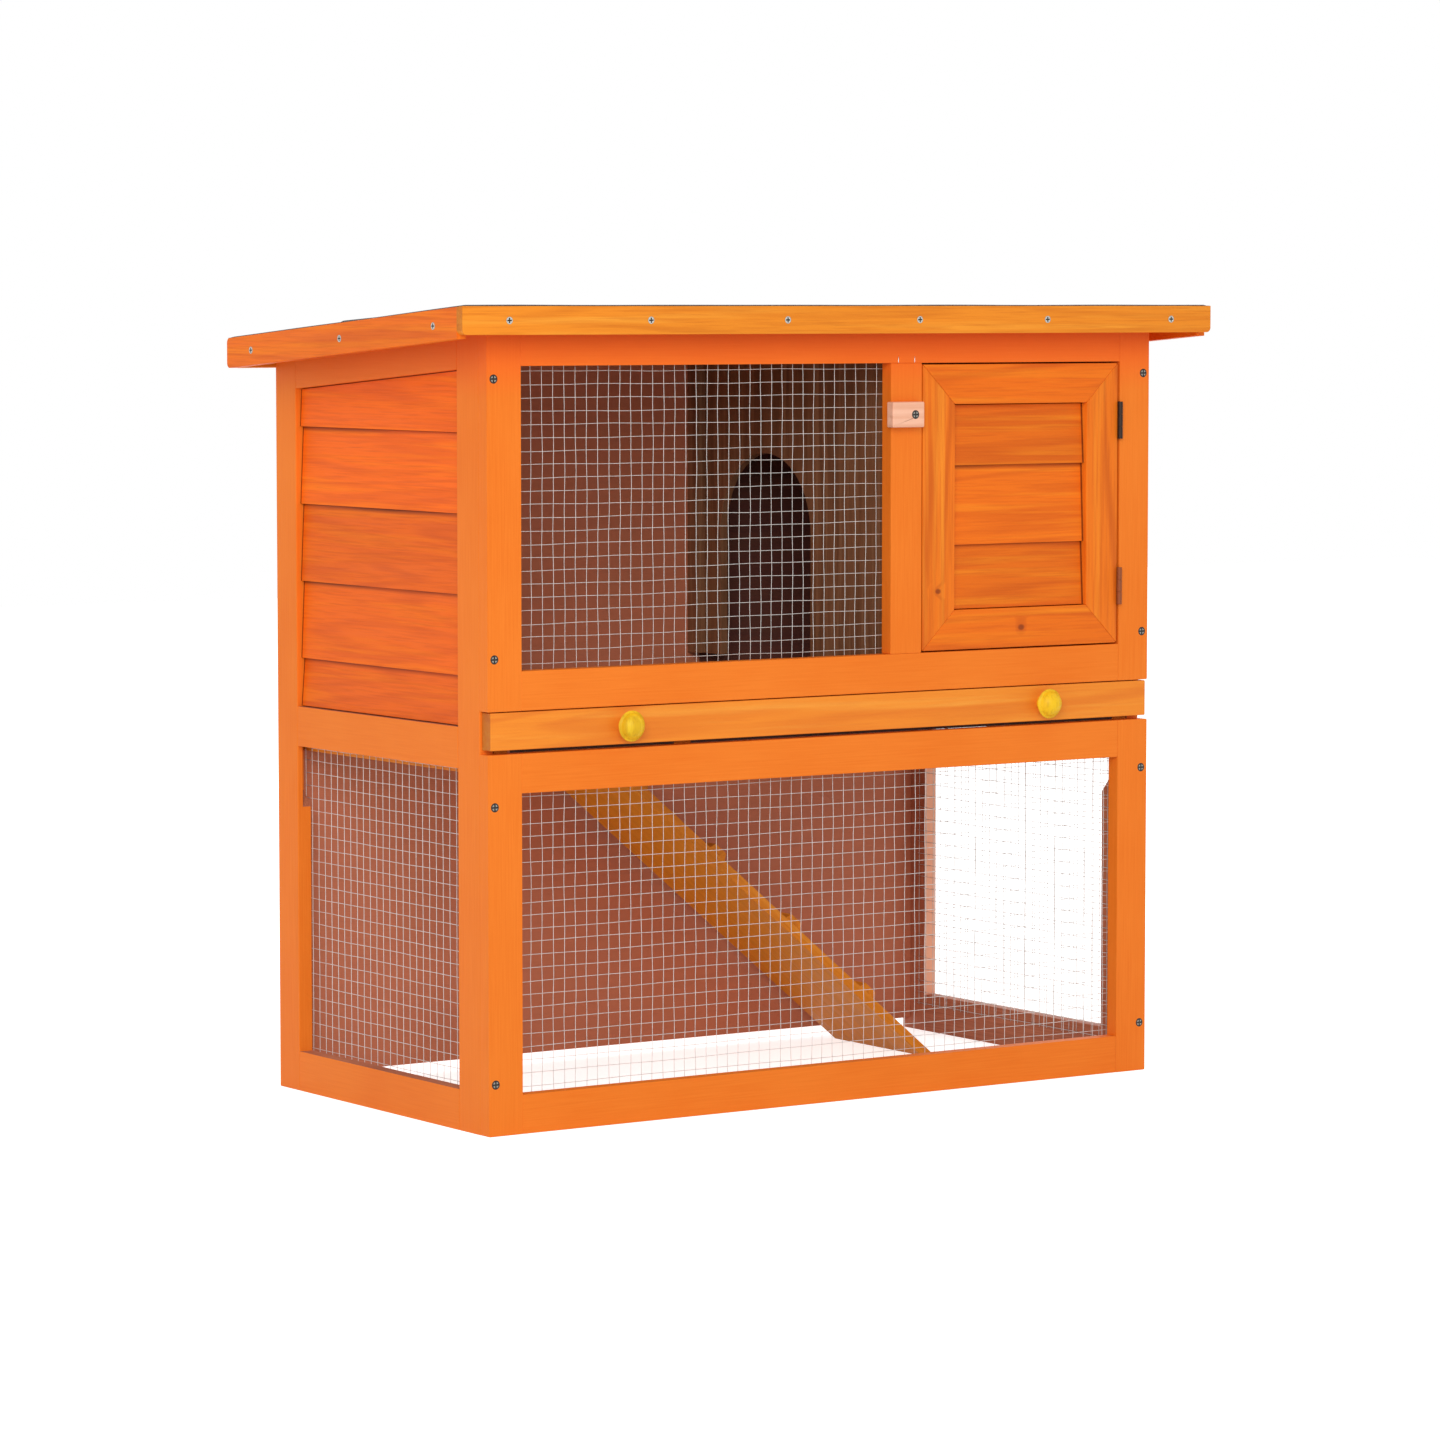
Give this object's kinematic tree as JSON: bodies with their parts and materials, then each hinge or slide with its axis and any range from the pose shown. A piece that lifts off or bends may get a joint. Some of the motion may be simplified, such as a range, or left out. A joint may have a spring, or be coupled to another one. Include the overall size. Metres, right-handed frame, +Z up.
{
  "type": "outdoor rabbit hutch",
  "caption": "Wooden outdoor rabbit hutch: meshed run below, meshed room and nest box above, inner ramp, side-hung door, turn button, slide-out tray and pent roof.",
  "frame": {"origin": "on the ground, under the middle of the roof", "axes": "+X to the right and +Y to the back as seen from the front, +Z up"},
  "size_m": [0.9006, 0.4532, 0.7948],
  "materials": {
    "painted_frame": "smooth orange wood paint",
    "stained_boards": "orange stain over grain",
    "door_wood": "orange stain over grain",
    "fascia_wood": "light orange stain over grain",
    "drawer_wood": "light orange stain over grain",
    "back_wood": "reddish brown stain",
    "divider_wood": "brown stain",
    "ramp_wood": "ochre stain",
    "deck_wood": "plain board",
    "roof_felt": "mineral roofing felt",
    "pale_wood": "pale bare wood",
    "knob_wood": "yellow varnished wood",
    "zinc_wire": "galvanised wire",
    "zinc_sheet": "galvanised sheet",
    "screw_steel": "zinc plated",
    "hinge_steel": "dark steel"
  },
  "bodies": {
    "hutch": {"lower_left_stile": "painted_frame", "lower_right_stile": "painted_frame", "lower_bottom_rail": "painted_frame", "lower_top_rail": "painted_frame", "upper_left_stile": "painted_frame", "upper_right_stile": "painted_frame", "upper_mid_stile": "painted_frame", "upper_bottom_rail": "painted_frame", "upper_top_rail": "painted_frame", "left_front_stile": "painted_frame", "left_rear_stile": "painted_frame", "left_bottom_rail": "painted_frame", "left_mid_rail": "painted_frame", "left_top_rail": "painted_frame", "right_front_stile": "painted_frame", "right_rear_stile": "painted_frame", "right_bottom_rail": "painted_frame", "right_mid_rail": "painted_frame", "right_top_rail": "painted_frame", "left_weatherboards": "stained_boards", "right_weatherboards": "stained_boards", "front_fascia": "fascia_wood", "left_fascia": "fascia_wood", "right_fascia": "fascia_wood", "rear_fascia": "fascia_wood", "back_wall": "back_wood", "divider_board": "divider_wood", "divider_battens": "divider_wood", "left_runner": "ramp_wood", "right_runner": "ramp_wood", "ramp_bearer": "ramp_wood", "roof_deck": "deck_wood", "roof_felt": "roof_felt", "lower_front_net": "zinc_wire", "upper_front_net": "zinc_wire", "left_side_net": "zinc_wire", "right_side_net": "zinc_wire", "panel_screws": "screw_steel", "fascia_screws": "screw_steel", "rail_staples": "screw_steel", "turn_button_screw": "screw_steel", "lower_hinge_frame_leaf": "hinge_steel", "upper_hinge_frame_leaf": "hinge_steel", "ramp_hinge_fixed_leaves": "hinge_steel"},
    "door": {"door_left_stile": "door_wood", "door_right_stile": "door_wood", "door_top_rail": "door_wood", "door_bottom_rail": "door_wood", "door_boards": "door_wood", "lower_hinge_door_leaf": "hinge_steel", "upper_hinge_door_leaf": "hinge_steel"},
    "button": {"turn_button": "pale_wood"},
    "drawer": {"drawer_front": "drawer_wood", "tray": "zinc_sheet", "left_knob": "knob_wood", "right_knob": "knob_wood"},
    "ramp": {"ramp_board": "ramp_wood", "ramp_cleats": "ramp_wood", "ramp_hinge_moving_leaves": "hinge_steel"}
  },
  "joints": [
    {"name": "door_swing", "type": "hinge", "parent": "hutch", "child": "door", "pos_m": [0.3607, -0.19095, 0.59], "axis": [0, 0, 1], "range_deg": [0, 175]},
    {"name": "button_turn", "type": "hinge", "parent": "hutch", "child": "button", "pos_m": [0.0939, -0.1944, 0.684], "axis": [0, -1, 0], "continuous": true},
    {"name": "tray_slide", "type": "slide", "parent": "hutch", "child": "drawer", "axis": [0, -1, 0], "range_m": [0, 0.35]},
    {"name": "ramp_lift", "type": "hinge", "parent": "hutch", "child": "ramp", "pos_m": [-0.1545, 0.10215, 0.3619], "axis": [0, -1, 0], "range_deg": [0, 18]}
  ]
}
